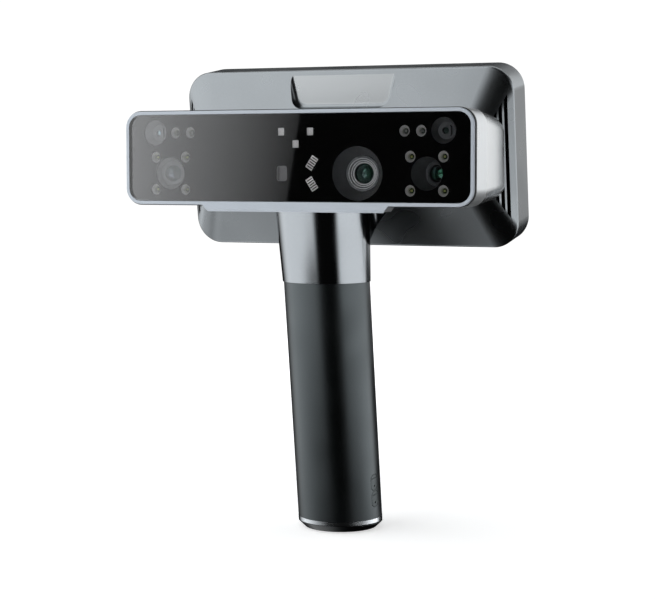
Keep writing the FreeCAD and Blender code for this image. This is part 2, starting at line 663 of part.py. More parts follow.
def display_frame():
    """Plastic frame that fills the gap between panel and housing wall."""
    body = house_plate(-WALL - 0.2, TRAY_Y1 + 0.1, PANEL_BACK_Y)
    pockets = [rod_y(x, z, 2.3, TRAY_Y1, TRAY_Y1 + 2.0) for x, z in BOSSES]
    return lean(body.cut(pockets + [screen_plate(0.2, TRAY_Y1 - 1, PANEL_BACK_Y + 1)]))


def antennas():
    """Two strip antennas along the top of the housing."""
    z0, z1 = HOUSE_Z + 41, HOUSE_Z + 46.5
    return lean(group([box(x - 16, x + 16, 52, 53, z0, z1) for x in (-60, 60)]))


# ---- neck --------------------------------------------------------------------------
def handle_rod(r, z0=-20.0, z1=300.0, r_top=None):
    """Cylinder or cone on the handle axis, still upright."""
    if r_top is None:
        return Part.makeCylinder(r, z1 - z0, V(0, 0, z0))
    return Part.makeCone(r, r_top, z1 - z0, V(0, 0, z0))


def level_slab(z0, z1):
    """Everything between two level planes of the row frame."""
    return box(-150, 150, -150, 150, z0, z1)


def ellipse_wire(y, z, a, b):
    """Ellipse about (0, y, z) with half axes a along X and b along Y."""
    if a >= b:
        curve = Part.Ellipse(V(a, y, z), V(0, y + b, z), V(0, y, z))
    else:
        curve = Part.Ellipse(V(0, y + b, z), V(-a, y, z), V(0, y, z))
    return Part.Wire([curve.toShape()])


def neck_flare():
    """Saddle that spreads from the back of the neck into the housing."""
    sections = [(8.0, 146, 15.0, 15.0), (15.0, 155, 15.5, 19.5), (19.5, 164, 19.6, 19.5),
                (22.0, 173, 24.8, 16.0), (23.0, 180, 32.0, 13.0), (23.5, 188, 43.0, 11.0)]
    return smooth_loft([ellipse_wire(y, z, a, b) for y, z, a, b in sections])


def on_column(edge):
    """True for the crease between the neck column and its flare."""
    if "BSpline" not in type(edge.Curve).__name__:
        return False
    for q in [v.Point for v in edge.Vertexes]:
        radius = GRIP_R + (NECK_TOP_R - GRIP_R) * (q.z - COLUMN_Z0) / (COLUMN_Z1 - COLUMN_Z0)
        if abs(math.hypot(q.x, q.y) - radius) > 0.02:
            return False
    return True


def neck_solid():
    """Outside of the whole neck in the row frame, trimmed by its neighbours."""
    column = handle_rod(GRIP_R, COLUMN_Z0, COLUMN_Z1, NECK_TOP_R)
    body = column.fuse(neck_flare()).removeSplitter()
    body = body.makeFillet(FLARE_FILLET, edges_where(body, on_column))
    body = lean(body).common(level_slab(SEAM_Z + 0.1, BAR_ORIGIN.z + 10))
    nose, slab = housing_outer(FIT)
    bar = to_bar(plate(BAR_W, BAR_H + 0.3, BAR_R, BEZEL_D + GROOVE_D, FRAME_D + 0.1))
    shell = to_bar(loft([shell_wire(FRAME_D + 0.1, -FIT), shell_wire(84.0, -FIT)]))
    return body.cut([lean(nose), lean(slab), bar, shell])


def neck_half(front):
    bore = lean(handle_rod(TUBE_R + FIT))
    y0 = -90.0 if front else NECK_SPLIT_Y + 0.05
    y1 = NECK_SPLIT_Y - 0.05 if front else 90.0
    half = lean(box(-90, 90, y0, y1, 100, 240))
    body = neck_solid().common(half).cut([bore, lean(cable_duct(HOUSE_Y + 5))])
    return max(body.Solids, key=lambda s: s.Volume)


# ---- handle ------------------------------------------------------------------------
def port_outline(z, grow, x0, x1):
    """Slim octagonal pill facing +X."""
    w, h, c = PORT_W / 2 + grow, PORT_H / 2 + grow, PORT_CUT
    right = [(w - c, -h), (w, c - h), (w, h - c), (w - c, h)]
    left = [(-y, up) for y, up in reversed(right)]
    loop = [V(x0, y, z + up) for y, up in right + left]
    face = Part.Face(Part.makePolygon(loop + loop[:1]))
    return face.extrude(V(x1 - x0, 0, 0))


def turn_port(shape):
    out = shape.copy()
    out.rotate(V(0, 0, 0), V(0, 0, 1), PORT_TURN)
    return out


def panel_block(grow):
    """Outline of the button panel on the back of the grip."""
    w, h = 2 * (PANEL_HALF_W + grow), PANEL_Z1 - PANEL_Z0 + 2 * grow
    return plate(w, h, 6.0 + grow, 10.0, 30.0, 0, (PANEL_Z0 + PANEL_Z1) / 2)


def grip_sleeve():
    """Soft-touch sleeve with openings for the button panel and the ports."""
    body = handle_rod(GRIP_R).cut(handle_rod(GRIP_R - SLEEVE_T))
    openings = [panel_block(0.15)]
    openings += [turn_port(port_outline(z, 0.25, 15, 30)) for z in PORT_ZS.values()]
    body = lean(body.cut(openings))
    return body.common(level_slab(RING_Z1 + 0.1, SEAM_Z - 0.1))


def handle_tube():
    """Load-bearing tube from the foot up into the head."""
    outer = handle_rod(TUBE_R, 0.0, 176.0)
    stem = handle_rod(NECK_HOLE_R - 0.4, 176.0, 200.0)
    bore = handle_rod(TUBE_R - TUBE_T, -5.0, 173.0)
    stem_bore = handle_rod(NECK_HOLE_R - 2.6, 172.0, 201.0)
    board_room = box(-11.5, 11.5, 12, 24, PANEL_Z0 - 2, PANEL_Z1 + 2)
    ports = [turn_port(port_outline(z, -0.2, 12, 30)) for z in PORT_ZS.values()]
    seats = [turn_port(port_outline(z, 0.2, TUBE_R - 0.4, 30)) for z in PORT_ZS.values()]
    wires = box(-8, 8, 15, 24, 163, 171)
    body = lean(fuse([outer, stem]).cut([bore, stem_bore, board_room, wires] + ports + seats))
    body = body.common(level_slab(RING_Z1 + 0.1, BAR_ORIGIN.z - BENCH_H / 2 - 0.1))
    return max(body.Solids, key=lambda s: s.Volume)


def button_panel():
    """Hard panel that frames the thumb buttons."""
    skin = handle_rod(GRIP_R + 0.35).cut(handle_rod(GRIP_R - 1.75))
    body = skin.common(panel_block(0.0))
    holes = [rod_y(0, SCAN_Z, SCAN_R + KEY_GAP, 10, 30)]
    holes += [rod_y(0, z, r + KEY_GAP, 10, 30) for z, r in KEYS.values()]
    return lean(body.cut(holes))


def round_button(z, r, proud):
    """Dished button with a retaining flange and a push stem."""
    top = GRIP_R + proud
    crown = rod_y(0, z, r, 20.6, top)
    crown = crown.makeFillet(0.5, edges_where(crown, lambda e: all_at(e, "y", top)))
    dish_r = 4.0 * r
    dish = Part.makeSphere(dish_r, V(0, top - 0.45 + dish_r, z))
    flange = rod_y(0, z, r + 0.5, 19.9, 20.8)
    stem = rod_y(0, z, 1.2, 18.85, 20.0)
    return fuse([crown, flange, stem]).cut(dish)


def scan_button():
    return lean(round_button(SCAN_Z, SCAN_R, SCAN_PROUD))


def sign_bars(z, plus):
    """Bars of the plus or minus sign on a key."""
    bars = [box(-1.5, 1.5, 22.0, 30.0, z - 0.3, z + 0.3)]
    if plus:
        bars.append(box(-0.3, 0.3, 22.0, 30.0, z - 1.5, z + 1.5))
    return bars


def key(name):
    """One of the small keys; all but the power key carry a cut sign."""
    z, r = KEYS[name]
    body = round_button(z, r, KEY_PROUD)
    if name == "power_button":
        return lean(body)
    depth = box(-5, 5, GRIP_R + KEY_PROUD - 0.75, 30, z - 5, z + 5)
    marks = [bar.common(depth) for bar in sign_bars(z, name == "plus_button")]
    return lean(body.cut(marks))


def button_board():
    return lean(box(-9.5, 9.5, 15.6, 16.8, PANEL_Z0 + 0.5, PANEL_Z1 - 0.5))


def dome_switches():
    """Tactile switches under the buttons."""
    domes = []
    for z in [SCAN_Z] + [z for z, r in KEYS.values()]:
        base = plate(4.6, 4.6, 0.5, 16.85, 17.45, 0, z)
        domes.append(fuse([base, rod_y(0, z, 1.5, 17.4, 17.55)]))
    return lean(group(domes))


def trim_ring():
    """Bright band between the sleeve and the end cap."""
    body = lean(handle_rod(GRIP_R + 0.05).cut(handle_rod(GRIP_R - 3.2)))
    return body.common(level_slab(RING_Z0 + 0.05, RING_Z1))


def end_cap():
    """Dark foot with a deep chamfer, a spigot inside the ring and screw holes."""
    body = lean(handle_rod(GRIP_R)).common(level_slab(0.0, RING_Z0))
    cone = Part.makeCone(FOOT_R, FOOT_R + RING_Z0 * 1.05, RING_Z0, V(0, 0, 0))
    spigot = lean(handle_rod(GRIP_R - 3.4)).common(level_slab(RING_Z0 - 1, RING_Z1 - 0.05))
    return fuse([body.common(cone), spigot]).cut(foot_screw_holes())


def battery_cells():
    """Two cylindrical lithium cells side by side."""
    cells = []
    for s in (-1, 1):
        can = Part.makeCylinder(CELL_R, CELL_L, V(s * CELL_X, 0, CELL_Z))
        cap = Part.makeCylinder(3.0, 1.0, V(s * CELL_X, 0, CELL_Z + CELL_L))
        cells.append(fuse([can, cap]))
    return lean(group(cells))


def battery_tray():
    """Cradle for the cells, with end walls that carry the contacts."""
    shell = handle_rod(19.6, 37.0, 108.0)
    room = box(-19, 19, -12, 25, 39.0, 106.0)
    back = box(-25, 25, 10.5, 25, 30, 115)
    return lean(shell.cut([room, back]))


def port_board():
    return lean(turn_port(box(11.2, 12.4, -6.0, 6.0, 10.5, 35.5)))


def stadium(z, w, h, x0, x1):
    """Flat-sided oval bar along X, long side upright."""
    half = (h - w) / 2
    straight = box(x0, x1, -w / 2, w / 2, z - half, z + half)
    ends = [Part.makeCylinder(w / 2, x1 - x0, V(x0, 0, end), V(1, 0, 0)) for end in (z - half, z + half)]
    return fuse([straight] + ends)


def port_sockets():
    """Two upright oval data and charging sockets."""
    sockets = []
    for z in PORT_ZS.values():
        shell = stadium(z, 3.3, 8.9, 12.5, 19.6)
        mouth = stadium(z, 2.6, 8.2, 13.6, 21)
        tongue = box(13.0, 18.6, -0.35, 0.35, z - 3.1, z + 3.1)
        sockets.append(turn_port(shell.cut(mouth).fuse(tongue)))
    return lean(group(sockets))


def port_cover(z):
    """Rubber flap with a plug, a hinge crease and a nail hole."""
    skin = handle_rod(GRIP_R - 0.02).cut(handle_rod(GRIP_R - PORT_DEPTH))
    flap = skin.common(port_outline(z, 0.0, 15, 30))
    crease = box(GRIP_R - 0.35, 30, -5, 5, z + PORT_H / 2 - 2.2, z + PORT_H / 2 - 1.8)
    nail = Part.makeCylinder(0.6, 6, V(GRIP_R - 0.6, 0, z - PORT_H / 2 + 2.2), V(1, 0, 0))
    plug = stadium(z - 0.7, 2.0, 5.4, GRIP_R - 2.6, GRIP_R - PORT_DEPTH + 0.2)
    return lean(turn_port(fuse([flap.cut([crease, nail]), plug])))


# ---- fasteners ---------------------------------------------------------------------
def screw(at, axis, r, head_r, length, head_t):
    """Cap screw with a hexagon socket, head at `at`, shank along axis."""
    head = Part.makeCylinder(head_r, head_t, at, axis * -1)
    shank = Part.makeCylinder(r, length, at, axis)
    hexagon = Part.makeCylinder(head_r * 0.5, head_t * 0.6, at - axis * head_t * 0.4, axis * -1)
    return fuse([head, shank]).cut(hexagon)


def bench_screws():
    """Screws that hold the optical bench to its posts."""
    seat = BENCH_Y1 + 0.1
    return to_bar(group([screw(V(x, seat, z), V(0, -1, 0), SCREW_R, 2.2, 9.5, 1.8) for x, z in POSTS]))


def bracket_screws():
    """Screws through the display tray into the housing."""
    at = TRAY_Y1 + 0.05
    return lean(group([screw(V(x, at, z), V(0, -1, 0), SCREW_R, 2.0, 8.0, 1.4) for x, z in BOSSES]))


def foot_screw_centres():
    angles = [math.radians(90 + 120 * k) for k in range(3)]
    return [(FOOT_SCREW_CIRCLE * math.cos(a), FOOT_SCREW_CIRCLE * math.sin(a)) for a in angles]


def foot_screws():
    """Flat-headed screws in the foot, sunk below its face."""
    items = []
    for x, y in foot_screw_centres():
        head = Part.makeCylinder(2.0, 1.2, V(x, y, 0.5))
        shank = Part.makeCylinder(SCREW_R, 4.2, V(x, y, 1.6))
        drive = Part.makeCylinder(0.9, 0.8, V(x, y, 0.4))
        items.append(fuse([head, shank]).cut(drive))
    return group(items)


def foot_screw_holes():
    holes = []
    for x, y in foot_screw_centres():
        holes.append(Part.makeCylinder(2.15, 2.0, V(x, y, -0.1)))
        holes.append(Part.makeCylinder(SCREW_R + 0.1, 6.0, V(x, y, 0)))
    return holes


# ---- build --------------------------------------------------------------------------
def build():
    os.makedirs("parts", exist_ok=True)
    nodes = {
        "front_bezel": front_bezel(),
        "bezel_gasket": bezel_gasket(),
        "front_glass": front_glass(),
        "optics_plate": optics_plate(),
        "mid_frame": mid_frame(),
        "head_shell": head_shell(),
        "colour_camera_hood": colour_hood(),
        "colour_camera_barrel": colour_barrel(),
        "colour_camera_lens": colour_lens(),
        "white_leds": white_leds(),
        "infrared_leds": infrared_leds(),
        "led_boards": led_boards(),
        "dot_emitters": dot_emitters(),
        "range_sensor": range_sensor(),
        "line_lasers": line_lasers(),
        "optical_bench": optical_bench(),
        "bench_posts": bench_posts(),
        "bench_screws": bench_screws(),
        "display_housing": display_housing(),
        "vent_screens": vent_screens(),
        "heat_sink": heat_sink(),
        "main_board": main_board(),
        "fan_frame": fan_frame(),
        "fan_rotor": fan_rotor(),
        "display_bracket": display_bracket(),
        "display_panel": display_panel(),
        "display_frame": display_frame(),
        "display_glass": display_glass(),
        "bracket_screws": bracket_screws(),
        "antennas": antennas(),
        "neck_front": neck_half(True),
        "neck_rear": neck_half(False),
        "handle_tube": handle_tube(),
        "grip_sleeve": grip_sleeve(),
        "trim_ring": trim_ring(),
        "end_cap": end_cap(),
        "foot_screws": foot_screws(),
        "button_panel": button_panel(),
        "scan_button": scan_button(),
        "button_board": button_board(),
        "dome_switches": dome_switches(),
        "battery_cells": battery_cells(),
        "battery_tray": battery_tray(),
        "port_board": port_board(),
        "port_sockets": port_sockets(),
    }
    for side, name in ((-1, "left"), (1, "right")):
        nodes[f"{name}_camera_hood"] = stereo_hood(side)
        nodes[f"{name}_camera_barrel"] = stereo_barrel(side)
        nodes[f"{name}_camera_lens"] = stereo_lens(side)
        nodes[f"{name}_tracking_camera"] = tracking_camera(side)
        nodes[f"{name}_tracking_lens"] = tracking_lens(side)
    for name in KEYS:
        nodes[name] = key(name)
    for name, z in PORT_ZS.items():
        nodes[f"{name}_port_cover"] = port_cover(z)
    for name, shape in nodes.items():
        save(name, shape)
    print(len(nodes), "nodes")


build()
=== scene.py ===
import json
import math

import bpy
from mathutils import Matrix, Vector


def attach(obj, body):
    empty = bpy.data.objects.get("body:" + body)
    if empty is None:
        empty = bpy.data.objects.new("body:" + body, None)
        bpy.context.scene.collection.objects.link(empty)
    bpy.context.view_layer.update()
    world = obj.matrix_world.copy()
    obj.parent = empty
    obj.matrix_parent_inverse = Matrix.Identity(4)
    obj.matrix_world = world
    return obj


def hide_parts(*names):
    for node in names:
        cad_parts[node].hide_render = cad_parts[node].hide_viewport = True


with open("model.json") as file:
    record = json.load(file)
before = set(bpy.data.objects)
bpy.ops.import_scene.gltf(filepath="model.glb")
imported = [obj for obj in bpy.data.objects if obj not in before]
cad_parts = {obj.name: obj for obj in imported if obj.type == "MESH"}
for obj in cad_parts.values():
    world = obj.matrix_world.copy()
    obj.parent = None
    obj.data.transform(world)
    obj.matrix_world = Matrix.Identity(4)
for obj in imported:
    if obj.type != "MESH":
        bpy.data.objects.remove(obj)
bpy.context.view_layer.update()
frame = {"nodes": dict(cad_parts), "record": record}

# Handheld structured-light scanner.  Row frame in metres: X across the width,
# -Y front, +Z up, origin at the centre of the foot.

# ---- named values -----------------------------------------------------------
BAR = Vector((0.0, -0.06874, 0.20907))      # centre of the camera bar's front face
LENS_Z = -0.0083                            # height of the main lenses in the bar
CAMERA_X, COLOUR_X = 0.0735, 0.0354         # stereo and colour cameras
TRACK_X, TRACK_Z = 0.0825, 0.0137           # small upper cameras
LASER_X, LASER_OFF = 0.0098, 0.0055         # line lasers, tilted about Y
LASER_TILT = math.radians(33.0)
MASK_BACK = 0.00305                         # back of the plate behind the glass
FILTER_Y, FILTER_THICK = 0.0022, 0.0004     # clear windows set into that plate
COLOUR_FILTER_R, CAMERA_FILTER_R, TRACK_FILTER_R = 0.01405, 0.0086, 0.0067
LED_CUP_R, WHITE_DOME_R, INFRARED_DOME_R = 0.0030, 0.0022, 0.0021
RIB_PITCH, RIB_WIDE, RIB_NARROW, RIB_HIGH = 0.0013, 0.0040, 0.0030, 0.0005
IRIS_RINGS = ((0.0083, 0.0108), (0.0071, 0.0117), (0.0061, 0.0124))     # radius, depth
IRIS_WIDTH = 0.0006
LED_POSTS = [(s * x, z) for s in (-1, 1) for x in (0.0645, 0.0824) for z in (0.0004, -0.0171)]
INFRARED_POSTS = [(s * x, 0.0136) for s in (-1, 1) for x in (0.0614, 0.0704)]

CAMERA_AZIMUTH = 22.23
CAMERA_PITCH = 3.906
CAMERA_BACK = 0.87723
CAMERA_SIDE = 0.01828
CAMERA_DROP = -0.00461
CAMERA_LENS = 91.41
CAMERA_SHIFT = -20.0 / 655.0

STUDIO_CENTRE = Vector((0.0, -0.02, 0.20))
STUDIO_RADIUS = 1.4
GLASS_EDGE_AZ, GLASS_EDGE_SKEW = -22.74, 0.15       # slanted edge seen in the front glass
FLOOR_DROP, FLOOR_RADIUS, BACKDROP_RADIUS = 0.0002, 3.9, 4.0

# Soft panels.  Azimuths, elevations, power, shares of power at the first and last
# azimuth, fades in degrees at the first and last azimuth, low and high elevation.
PANELS = {
    "glass_glow": ((-40.0, GLASS_EDGE_AZ), (-3.4, 3.5), 0.74, (3.3, 0.2), (0.0, 0.0, 0.6, 0.3),
                   GLASS_EDGE_SKEW),
    "key_left": ((-130.0, -40.0), (-3.4, 4.9), 2.0, (1.0, 1.0), (40.0, 0.0, 0.6, 0.6)),
    "neck_left": ((-130.0, 5.0), (-25.6, -3.2), 1.9, (1.0, 1.0), (40.0, 12.0, 1.2, 0.6)),
    "grip_left": ((-130.0, -6.0), (-44.0, -24.7), 1.15, (1.0, 1.0), (40.0, 100.0, 5.0, 1.2)),
    "foot_left": ((-150.0, -14.0), (-86.0, -42.0), 1.35, (1.0, 1.0), (25.0, 72.0, 10.0, 5.0)),
    "brow_left": ((-40.0, 4.0), (3.3, 5.3), 2.1, (1.0, 1.0), (0.0, 26.0, 0.4, 0.5)),
    "high_left": ((-130.0, 4.0), (4.8, 86.0), 2.0, (1.0, 0.8), (40.0, 26.0, 0.6, 12.0)),
    "top_back": ((100.0, 260.0), (25.0, 89.0), 1.0, (1.0, 1.0), (30.0, 30.0, 20.0, 0.0)),
    "neck_right": ((50.0, 153.0), (-24.0, -7.0), 1.95, (1.0, 1.0), (14.0, 14.0, 1.5, 2.0)),
    "grip_right": ((80.0, 158.0), (-33.0, -23.0), 1.4, (1.0, 1.0), (62.0, 14.0, 5.0, 1.5)),
    "side_right": ((50.0, 151.5), (-9.0, 34.0), 2.0, (0.45, 1.0), (50.0, 3.0, 2.0, 18.0)),
    "rear_right": ((151.5, 186.0), (-7.0, 40.0), 1.12, (1.0, 1.0), (1.0, 8.0, 5.0, 15.0)),
}
OVERHEAD = ((-180.0, 180.0), (60.0, 89.0), 1.6, (1.0, 1.0), (0.0, 0.0, 10.0, 0.0))


# ---- node helpers -----------------------------------------------------------
def new_material(name):
    mat = bpy.data.materials.new(name)
    mat.use_nodes = True
    tree = mat.node_tree
    tree.nodes.clear()
    out = tree.nodes.new("ShaderNodeOutputMaterial")
    return mat, tree, out


def node(tree, kind, **inputs):
    made = tree.nodes.new(kind)
    for key, value in inputs.items():
        socket = made.inputs[key.replace("_", " ")]
        if isinstance(value, bpy.types.NodeSocket):
            tree.links.new(value, socket)
        else:
            socket.default_value = value
    return made


def rgb(colour):
    return (colour[0], colour[1], colour[2], 1.0)


def noise(tree, scale, detail=2.0, roughness=0.5):
    """Fractal noise laid out in the row frame; scale is in cells per metre."""
    where = node(tree, "ShaderNodeTexCoord").outputs["Object"]
    return node(tree, "ShaderNodeTexNoise", Vector=where, Scale=scale, Detail=detail,
                Roughness=roughness).outputs["Fac"]


def spread(tree, value, low, high, start=0.3, end=0.7):
    """Maps a noise onto low..high."""
    made = node(tree, "ShaderNodeMapRange", Value=value)
    limits = {"From Min": start, "From Max": end, "To Min": low, "To Max": high}
    for key, number in limits.items():
        made.inputs[key].default_value = number
    return made.outputs["Result"]


def between(tree, factor, first, second):
    made = tree.nodes.new("ShaderNodeMix")
    made.data_type = "RGBA"
    tree.links.new(factor, made.inputs["Factor"])
    for socket, value in ((made.inputs[6], first), (made.inputs[7], second)):
        if isinstance(value, bpy.types.NodeSocket):
            tree.links.new(value, socket)
        else:
            socket.default_value = rgb(value)
    return made.outputs[2]


def scaled(colour, k):
    return tuple(min(1.0, c * k) for c in colour)


def bumped(tree, height, strength, distance):
    bump = node(tree, "ShaderNodeBump", Height=height, Strength=strength, Distance=distance)
    return bump.outputs["Normal"]


def finish(name, colour, rough, metal=0.0, grain=0.0004, bump=0.15, blotch=0.05, vary=0.05,
           coat=0.0, specular=0.5, glow=0.0):
    """General finish: fine grain in the surface, cloudy colour and gloss.

    glow adds a little painted light, an even glow on a part that is no lamp, for bright chips deep
    behind the glass."""
    mat, tree, out = new_material(name)
    fine = noise(tree, 1.0 / grain, 1.5)
    cloud = noise(tree, 55.0, 0.0)
    pale, deep = scaled(colour, 1 + blotch), scaled(colour, 1 - blotch)
    tone = between(tree, spread(tree, fine, 0.0, 1.0), deep, pale)
    gloss = spread(tree, cloud, rough - vary, rough + vary)
    shader = node(tree, "ShaderNodeBsdfPrincipled", Base_Color=tone, Roughness=gloss, Metallic=metal,
                  Normal=bumped(tree, fine, bump, grain * 0.02))
    shader.inputs["Specular IOR Level"].default_value = specular
    # painted light: emission on a part that is no lamp, standing in for the light that reaches it behind
    # the glass
    if glow:
        shader.inputs["Emission Color"].default_value = rgb(colour)
        shader.inputs["Emission Strength"].default_value = glow
    if coat:
        shader.inputs["Coat Weight"].default_value = coat
        shader.inputs["Coat Roughness"].default_value = 0.08
    tree.links.new(shader.outputs[0], out.inputs["Surface"])
    return mat


def see_through(name, tint, smudge=0.03, index=1.9, rough=0.015):
    """Flat cover glass: a tinted clear layer under a polished, faintly smudged surface."""
    mat, tree, out = new_material(name)
    marks = spread(tree, noise(tree, 42.0, 5.0, 0.65), rough, rough + smudge, 0.5, 0.8)
    clear = node(tree, "ShaderNodeBsdfTransparent", Color=rgb(tint))
    mirror = node(tree, "ShaderNodeBsdfPrincipled", Base_Color=rgb((0.8, 0.8, 0.8)), Metallic=1.0,
                  Roughness=marks)
    share = node(tree, "ShaderNodeFresnel", IOR=index)
    both = node(tree, "ShaderNodeMixShader", Fac=share.outputs[0])
    tree.links.new(clear.outputs[0], both.inputs[1])
    tree.links.new(mirror.outputs[0], both.inputs[2])
    tree.links.new(both.outputs[0], out.inputs["Surface"])
    return mat


def coated_lens(name, tint, glow):
    """Optical glass with a thin anti-reflection film."""
    mat, tree, out = new_material(name)
    haze = spread(tree, noise(tree, 600.0, 3.0), 0.01, 0.06)
    clear = node(tree, "ShaderNodeBsdfTransparent", Color=rgb(tint))
    film = spread(tree, noise(tree, 160.0, 1.0), 0.0, 1.0)
    colour = between(tree, film, glow, (0.75, 0.8, 0.95))
    mirror = node(tree, "ShaderNodeBsdfPrincipled", Base_Color=colour, Metallic=1.0, Roughness=haze)
    share = node(tree, "ShaderNodeFresnel", IOR=2.3)
    both = node(tree, "ShaderNodeMixShader", Fac=share.outputs[0])
    tree.links.new(clear.outputs[0], both.inputs[1])
    tree.links.new(mirror.outputs[0], both.inputs[2])
    tree.links.new(both.outputs[0], out.inputs["Surface"])
    return mat


def circuit(name):
    """Solder mask with faint copper runs."""
    mat, tree, out = new_material(name)
    where = node(tree, "ShaderNodeTexCoord").outputs["Object"]
    runs = node(tree, "ShaderNodeTexVoronoi", Vector=where, Scale=420.0)
    runs.distance = "CHEBYCHEV"
    runs.feature = "DISTANCE_TO_EDGE"
    line = spread(tree, runs.outputs["Distance"], 1.0, 0.0, 0.02, 0.06)
    tone = between(tree, line, (0.008, 0.05, 0.03), (0.03, 0.12, 0.07))
    shader = node(tree, "ShaderNodeBsdfPrincipled", Base_Color=tone, Roughness=0.35,
                  Normal=bumped(tree, line, 0.3, 0.00003))
    tree.links.new(shader.outputs[0], out.inputs["Surface"])
    return mat


def woven(name, colour, pitch):
    """Fine mesh: two crossed waves; the holes between the wires are painted near-black, painted shade
    for the dark seen through them.
    """
    mat, tree, out = new_material(name)
    where = node(tree, "ShaderNodeTexCoord").outputs["Object"]
    waves = []
    for direction in ("X", "Z"):
        wave = node(tree, "ShaderNodeTexWave", Vector=where, Scale=0.314 / pitch)
        wave.bands_direction = direction
        waves.append(wave.outputs["Fac"])
    top = node(tree, "ShaderNodeMath")
    top.operation = "MAXIMUM"
    tree.links.new(waves[0], top.inputs[0])
    tree.links.new(waves[1], top.inputs[1])
    # painted shade: near-black in the holes, darker than the 0.03 wires
    tone = between(tree, spread(tree, top.outputs[0], 0.0, 1.0, 0.5, 0.8), (0.001, 0.001, 0.001), colour)
    shader = node(tree, "ShaderNodeBsdfPrincipled", Base_Color=tone, Roughness=0.45, Metallic=0.6,
                  Normal=bumped(tree, top.outputs[0], 0.8, 0.0001))
    tree.links.new(shader.outputs[0], out.inputs["Surface"])
    return mat


# ---- finishes by material slot -----------------------------------------------
def make_finishes():
    """One finish per material slot: colour, roughness, metallic, grain, bump, blotch, gloss change."""
    made = {
        "smoked_glass": see_through("smoked_glass", (0.96, 0.96, 0.97)),
        "screen_glass": see_through("screen_glass", (0.55, 0.55, 0.56), 0.05, 1.55),
        "lens": coated_lens("lens", (0.8, 0.9, 0.86), (0.35, 0.9, 0.6)),
        "board": circuit("board"),
        "screen_panel": finish("screen_panel", (0.012, 0.015, 0.02), 0.3, grain=0.0003, bump=0.01,
                               blotch=0.15),
        "mesh_black": woven("mesh_black", (0.03, 0.03, 0.03), 0.0008),
        "led_clear": finish("led_clear", (0.62, 0.62, 0.58), 0.2, coat=0.8),
        "infrared_clear": finish("infrared_clear", (0.10, 0.09, 0.10), 0.15, coat=0.8),
        "cell_wrap": finish("cell_wrap", (0.02, 0.06, 0.16), 0.3, 0.0, 0.0006, coat=0.4),
        # painted light: the emitter chips get a glow of 0.17 though they are no lamp
        "emitter_can": finish("emitter_can", (0.95, 0.95, 0.93), 0.35, blotch=0.08, vary=0.08,
                              glow=0.17),
        "black_plate": finish("black_plate", (0.0012, 0.0012, 0.0013), 0.7, bump=0.1, specular=0.05),
    }
    plain = {
        "bright_bezel": ((0.415, 0.45, 0.495), 0.36, 0.5, 0.0005, 0.06, 0.02, 0.04),
        "frame_silver": ((0.60, 0.612, 0.62), 0.28, 0.85, 0.0005, 0.02, 0.02, 0.02),
        "shell_silver": ((0.62, 0.625, 0.63), 0.25, 0.95, 0.0005, 0.02, 0.02, 0.02),
        "housing_grey": ((0.255, 0.27, 0.282), 0.29, 1.0, 0.0005, 0.015, 0.03, 0.02),
        "neck_grey": ((0.27, 0.285, 0.30), 0.14, 1.0, 0.0005, 0.06, 0.04, 0.02),
        "soft_grip": ((0.078, 0.087, 0.091), 0.33, 0.99, 0.0005, 0.06, 0.03, 0.03),
        "hood_black": ((0.27, 0.27, 0.272), 0.42, 0.1, 0.0004, 0.15, 0.08, 0.06),
        "barrel_black": ((0.32, 0.32, 0.325), 0.28, 0.5, 0.0004, 0.15, 0.06, 0.06),
        "bare_alloy": ((0.62, 0.63, 0.64), 0.32, 1.0, 0.0004, 0.20, 0.05, 0.06),
        "steel": ((0.56, 0.56, 0.58), 0.25, 1.0, 0.0004, 0.15, 0.05, 0.08),
        "seal_black": ((0.012, 0.012, 0.012), 0.6, 0.0, 0.0004, 0.20, 0.10, 0.08),
        "inner_plastic": ((0.03, 0.03, 0.032), 0.5, 0.0, 0.0005, 0.30, 0.10, 0.08),
        "button_dark": ((0.035, 0.037, 0.04), 0.42, 0.0, 0.0004, 0.30, 0.08, 0.06),
        "button_accent": ((0.16, 0.17, 0.18), 0.3, 0.8, 0.0004, 0.20, 0.05, 0.05),
        "ring_bright": ((0.72, 0.75, 0.78), 0.2, 1.0, 0.0004, 0.05, 0.03, 0.04),
        "foot_dark": ((0.018, 0.02, 0.021), 0.30, 0.9, 0.0005, 0.15, 0.06, 0.05),
        "cover_rubber": ((0.07, 0.08, 0.083), 0.40, 0.9, 0.0005, 0.20, 0.06, 0.05),
        "copper_strip": ((0.55, 0.32, 0.12), 0.3, 1.0, 0.0004, 0.15, 0.06, 0.06),
    }
    for name, values in plain.items():
        made[name] = finish(name, *values)
    # Painted light and shade on the housing: the front-facing recess is painted lighter, the side walls
    # facing +X and -X are painted darker.
    paint_light_by_facing(made["housing_grey"], (0.0, -1.0, 0.0), (0.46, 0.475, 0.485))
    paint_light_by_facing(made["housing_grey"], (1.0, 0.0, 0.0), (0.075, 0.08, 0.084))
    paint_light_by_facing(made["housing_grey"], (-1.0, 0.0, 0.0), (0.075, 0.08, 0.084))
    return made


def paint_light_by_facing(mat, way, colour):
    """Painted light and shade by facing: faces that look one way get another colour in place of how
    light falls on them, lighter on the front recess as painted light, darker on the side walls as
    painted shade.
    """
    tree = mat.node_tree
    shader = next(n for n in tree.nodes if n.type == "BSDF_PRINCIPLED")
    facing = node(tree, "ShaderNodeVectorMath")
    facing.operation = "DOT_PRODUCT"
    tree.links.new(node(tree, "ShaderNodeNewGeometry").outputs["Normal"], facing.inputs[0])
    facing.inputs[1].default_value = way
    share = spread(tree, facing.outputs["Value"], 0.0, 1.0, 0.985, 0.998)
    paint = shader.inputs["Base Color"]
    tree.links.new(between(tree, share, paint.links[0].from_socket, colour), paint)


def dress_nodes(finishes):
    for part in frame["record"]["subparts"]:
        piece = frame["nodes"][part["node"]]
        piece.data.materials.clear()
        piece.data.materials.append(finishes[part["material_slot"]])


